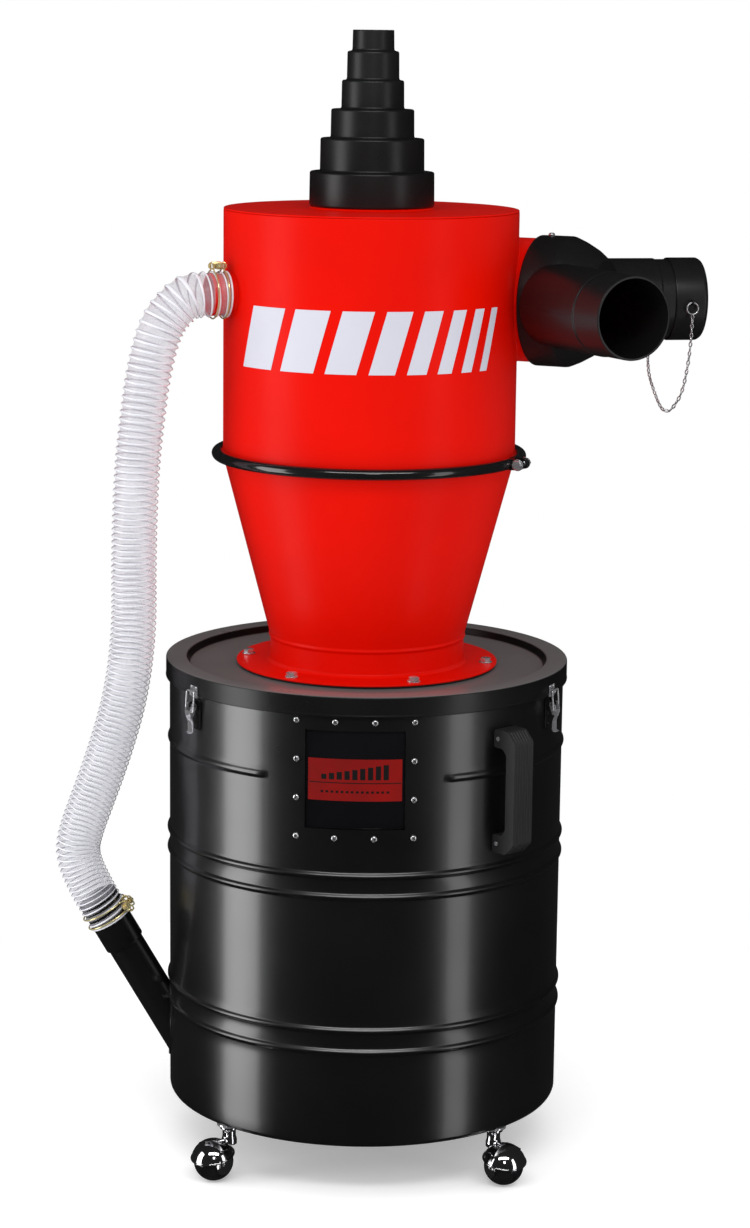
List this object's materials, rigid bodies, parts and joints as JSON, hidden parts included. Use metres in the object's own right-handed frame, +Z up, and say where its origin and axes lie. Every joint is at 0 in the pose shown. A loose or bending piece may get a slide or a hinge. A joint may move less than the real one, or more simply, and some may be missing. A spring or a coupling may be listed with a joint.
{
  "type": "dust collector",
  "caption": "Two-stage dust collector: a cyclone with a stepped outlet and a two-way inlet, latched by its lid onto a wheeled drum with a level window.",
  "frame": {"origin": "on the floor, under the middle of the rigid object's footprint", "axes": "+Z up along the drum, -Y towards the level window, +X towards the inlet wye"},
  "size_m": [0.7891, 0.5028, 1.3706],
  "materials": {
    "drum_paint": "gloss black powder coat",
    "lid_paint": "satin black powder coat",
    "red_paint": "gloss red enamel",
    "window_pane": "smoked clear sheet",
    "level_label": "printed film",
    "screw_chrome": "bright plated",
    "handle_plastic": "ribbed satin moulding",
    "black_moulding": "satin moulding",
    "latch_steel": "bright zinc plated",
    "caster_chrome": "bright chrome",
    "caster_ball": "gloss black",
    "seal_rubber": "foam",
    "fastener_steel": "bright zinc plated",
    "band_paint": "gloss black",
    "chain_steel": "nickel plated",
    "hose_plastic": "translucent white helix hose",
    "zinc_plate": "yellow zinc passivate"
  },
  "bodies": {
    "drum": {"drum_shell": "drum_paint", "drum_floor": "drum_paint", "spout_pipe": "drum_paint", "window_pane": "window_pane", "window_retainer": "screw_chrome", "level_label": "level_label", "handle_right": "handle_plastic", "handle_left": "handle_plastic", "latch_base_1": "latch_steel", "latch_base_2": "latch_steel", "latch_base_3": "latch_steel", "caster_mount_1": "caster_chrome", "caster_mount_2": "caster_chrome", "caster_mount_3": "caster_chrome", "caster_mount_4": "caster_chrome", "hose_lower": "hose_plastic", "hose_clamp_low": "zinc_plate"},
    "head": {"latch_keeper_1": "latch_steel", "latch_keeper_2": "latch_steel", "latch_keeper_3": "latch_steel", "lid": "lid_paint", "lid_gasket": "seal_rubber", "flange_gasket": "seal_rubber", "flange_bolt_1": "fastener_steel", "flange_bolt_2": "fastener_steel", "flange_bolt_3": "fastener_steel", "flange_bolt_4": "fastener_steel", "flange_bolt_5": "fastener_steel", "flange_bolt_6": "fastener_steel", "separator_cone": "red_paint", "cyclone_body": "red_paint", "cyclone_cover": "red_paint", "inlet_duct": "red_paint", "hose_stub": "red_paint", "band_seal": "seal_rubber", "band_clamp": "band_paint", "band_bolt": "fastener_steel", "inlet_wye": "black_moulding", "wye_screw": "fastener_steel", "tether_chain": "chain_steel", "hose_upper": "hose_plastic", "hose_clamp_top": "zinc_plate"},
    "adapter": {"outlet_adapter": "black_moulding"},
    "cap": {"blank_cap": "black_moulding", "cap_ring": "chain_steel"},
    "latch_lever_1": {"latch_lever_1": "latch_steel"},
    "latch_bail_1": {"latch_bail_1": "latch_steel"},
    "latch_lever_2": {"latch_lever_2": "latch_steel"},
    "latch_bail_2": {"latch_bail_2": "latch_steel"},
    "latch_lever_3": {"latch_lever_3": "latch_steel"},
    "latch_bail_3": {"latch_bail_3": "latch_steel"},
    "caster_hood_1": {"caster_hood_1": "caster_chrome"},
    "caster_wheel_1": {"caster_wheel_1": "caster_ball"},
    "caster_hood_2": {"caster_hood_2": "caster_chrome"},
    "caster_wheel_2": {"caster_wheel_2": "caster_ball"},
    "caster_hood_3": {"caster_hood_3": "caster_chrome"},
    "caster_wheel_3": {"caster_wheel_3": "caster_ball"},
    "caster_hood_4": {"caster_hood_4": "caster_chrome"},
    "caster_wheel_4": {"caster_wheel_4": "caster_ball"}
  },
  "joints": [
    {"name": "head_lift", "type": "slide", "parent": "drum", "child": "head", "axis": [0, 0, 1], "range_m": [0, 0.06]},
    {"name": "latch_lever_1_turn", "type": "hinge", "parent": "drum", "child": "latch_lever_1", "pos_m": [-0.23529, -0.1447, 0.58], "axis": [-0.5592, 0.829, 0], "range_deg": [-10, 85]},
    {"name": "latch_bail_1_turn", "type": "hinge", "parent": "latch_lever_1", "child": "latch_bail_1", "pos_m": [-0.23778, -0.14638, 0.573], "axis": [-0.5592, 0.829, 0], "range_deg": [-131.75, 15.5]},
    {"name": "latch_lever_2_turn", "type": "hinge", "parent": "drum", "child": "latch_lever_2", "pos_m": [0.19667, -0.1145, 0.58], "axis": [-0.4384, -0.8988, 0], "range_deg": [-10, 85]},
    {"name": "latch_bail_2_turn", "type": "hinge", "parent": "latch_lever_2", "child": "latch_bail_2", "pos_m": [0.19936, -0.11581, 0.573], "axis": [-0.4384, -0.8988, 0], "range_deg": [-131.75, 15.5]},
    {"name": "latch_lever_3_turn", "type": "hinge", "parent": "drum", "child": "latch_lever_3", "pos_m": [-0.04547, 0.24449, 0.58], "axis": [0.9976, 0.0698, 0], "range_deg": [-10, 85]},
    {"name": "latch_bail_3_turn", "type": "hinge", "parent": "latch_lever_3", "child": "latch_bail_3", "pos_m": [-0.04568, 0.24748, 0.573], "axis": [0.9976, 0.0698, 0], "range_deg": [-131.75, 15.5]},
    {"name": "caster_1_swivel", "type": "hinge", "parent": "drum", "child": "caster_hood_1", "pos_m": [-0.18854, -0.16542, 0.067], "axis": [0, 0, 1], "continuous": true},
    {"name": "caster_1_roll", "type": "hinge", "parent": "caster_hood_1", "child": "caster_wheel_1", "pos_m": [-0.20653, -0.18278, 0.024], "axis": [0.6947, -0.7193, 0], "continuous": true},
    {"name": "caster_2_swivel", "type": "hinge", "parent": "drum", "child": "caster_hood_2", "pos_m": [0.13248, -0.16542, 0.067], "axis": [0, 0, 1], "continuous": true},
    {"name": "caster_2_roll", "type": "hinge", "parent": "caster_hood_2", "child": "caster_wheel_2", "pos_m": [0.1446, -0.18728, 0.024], "axis": [0.8746, 0.4848, 0], "continuous": true},
    {"name": "caster_3_swivel", "type": "hinge", "parent": "drum", "child": "caster_hood_3", "pos_m": [0.13248, 0.15561, 0.067], "axis": [0, 0, 1], "continuous": true},
    {"name": "caster_3_roll", "type": "hinge", "parent": "caster_hood_3", "child": "caster_wheel_3", "pos_m": [0.15597, 0.16416, 0.024], "axis": [-0.342, 0.9397, 0], "continuous": true},
    {"name": "caster_4_swivel", "type": "hinge", "parent": "drum", "child": "caster_hood_4", "pos_m": [-0.18854, 0.15561, 0.067], "axis": [0, 0, 1], "continuous": true},
    {"name": "caster_4_roll", "type": "hinge", "parent": "caster_hood_4", "child": "caster_wheel_4", "pos_m": [-0.21269, 0.16208, 0.024], "axis": [-0.2588, -0.9659, 0], "continuous": true},
    {"name": "adapter_lift", "type": "slide", "parent": "head", "child": "adapter", "axis": [0, 0, 1], "range_m": [0, 0.04]},
    {"name": "cap_pull", "type": "slide", "parent": "head", "child": "cap", "axis": [0.9833, 0.1822, 0], "range_m": [0, 0.03]}
  ],
  "couplings": [
    {"joint": "latch_bail_1_turn", "follows": "latch_lever_1_turn", "ratio": -1.55},
    {"joint": "latch_bail_2_turn", "follows": "latch_lever_2_turn", "ratio": -1.55},
    {"joint": "latch_bail_3_turn", "follows": "latch_lever_3_turn", "ratio": -1.55}
  ]
}
